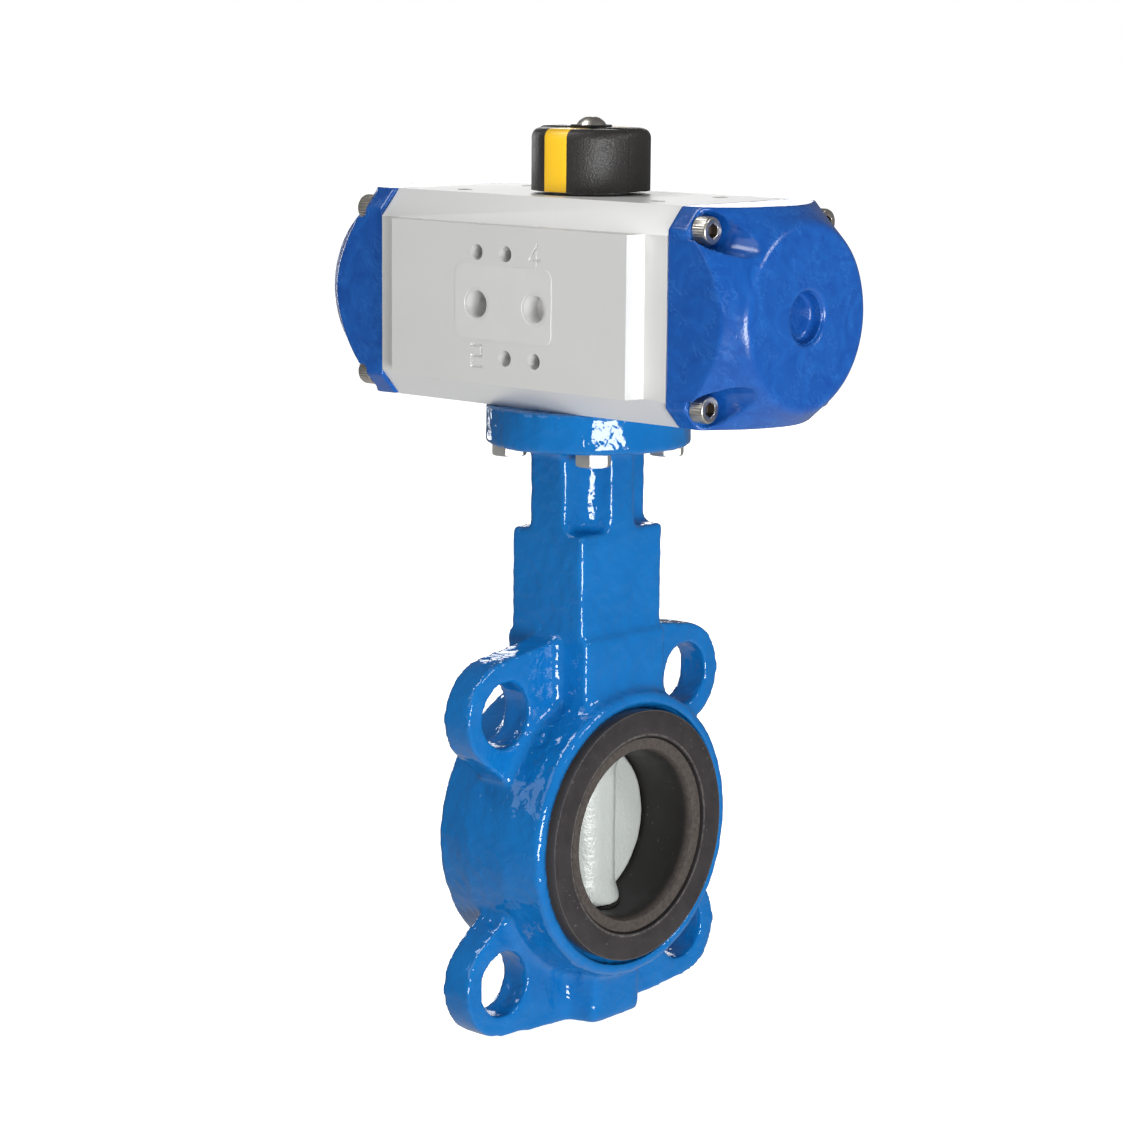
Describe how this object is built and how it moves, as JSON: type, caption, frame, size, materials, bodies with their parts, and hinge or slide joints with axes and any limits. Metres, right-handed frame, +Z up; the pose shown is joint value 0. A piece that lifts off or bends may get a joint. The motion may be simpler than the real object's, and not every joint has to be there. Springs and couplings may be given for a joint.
{
  "type": "pneumatic butterfly valve",
  "caption": "Wafer butterfly valve for a pipe, with a rubber seat and a disc turned a quarter turn by a double-acting pneumatic rack and pinion actuator on its neck.",
  "frame": {"origin": "centre of the closed disc on the pipe axis", "axes": "+X along the pipe towards the face in the picture, +Z up the stem, -Y towards the control valve face of the actuator"},
  "size_m": [0.173, 0.1208, 0.2892],
  "materials": {
    "blue_enamel": "glossy sky blue enamel over rough cast iron",
    "anodised_body": "satin natural anodised extrusion",
    "blue_cap_coating": "semi-matt ultramarine coating on die-cast alloy",
    "seat_rubber": "dusty black moulded EPDM",
    "grey_disc_coating": "light grey glossy coating with orange peel",
    "stem_steel": "ground stainless steel",
    "pinion_steel": "nickel plated steel",
    "stainless_screw": "bright stainless steel",
    "zinc_steel": "zinc plated steel",
    "spring_steel": "phosphated spring steel",
    "bush_bronze": "sintered bronze",
    "piston_alloy": "die-cast aluminium",
    "seal_rubber": "black nitrile rubber",
    "bearing_plastic": "natural acetal",
    "band_plastic": "filled sliding plastic",
    "indicator_plastic": "black textured plastic",
    "yellow_plastic": "yellow plastic",
    "label_film": "plain silver film"
  },
  "bodies": {
    "housing": {"valve_body": "blue_enamel", "seat_liner": "seat_rubber", "upper_stem_bush": "bush_bronze", "middle_stem_bush": "bush_bronze", "lower_stem_bush": "bush_bronze", "stem_cover_washer": "zinc_steel", "stem_retaining_ring": "spring_steel", "centring_ring": "anodised_body", "flange_bolts": "stainless_screw", "actuator_body": "anodised_body", "blank_label": "label_film", "cap_gasket_right": "seal_rubber", "cap_gasket_left": "seal_rubber", "end_cap_right": "blue_cap_coating", "end_cap_left": "blue_cap_coating", "end_cap_screws_right": "stainless_screw", "end_cap_screws_left": "stainless_screw", "pinion_lower_bearing": "bearing_plastic", "pinion_upper_bearing": "bearing_plastic", "pinion_washer": "stainless_screw"},
    "rotor": {"disc": "grey_disc_coating", "valve_stem": "stem_steel", "stem_o_rings": "seal_rubber", "stem_circlip": "spring_steel", "pinion": "pinion_steel", "pinion_lower_o_ring": "seal_rubber", "pinion_upper_o_ring": "seal_rubber", "pinion_circlip": "spring_steel", "indicator_body": "indicator_plastic", "indicator_yellow_stripes": "yellow_plastic", "indicator_black_stripes": "indicator_plastic", "indicator_washer": "seal_rubber", "indicator_screw": "stainless_screw"},
    "right_piston": {"piston_right": "piston_alloy", "piston_o_ring_right": "seal_rubber", "piston_guide_band_right": "band_plastic", "rack_guide_right": "bearing_plastic"},
    "left_piston": {"piston_left": "piston_alloy", "piston_o_ring_left": "seal_rubber", "piston_guide_band_left": "band_plastic", "rack_guide_left": "bearing_plastic"}
  },
  "joints": [
    {"name": "disc_turn", "type": "hinge", "parent": "housing", "child": "rotor", "pos_m": [0, 0, 0], "axis": [0, 0, 1], "range_deg": [0, 90]},
    {"name": "right_piston_slide", "type": "slide", "parent": "housing", "child": "right_piston", "axis": [1, 0, 0], "range_m": [0, 0.01572]},
    {"name": "left_piston_slide", "type": "slide", "parent": "housing", "child": "left_piston", "axis": [-1, 0, 0], "range_m": [0, 0.01572]}
  ],
  "couplings": [
    {"joint": "right_piston_slide", "follows": "disc_turn", "m_per_rad": 0.01},
    {"joint": "left_piston_slide", "follows": "disc_turn", "m_per_rad": 0.01}
  ]
}
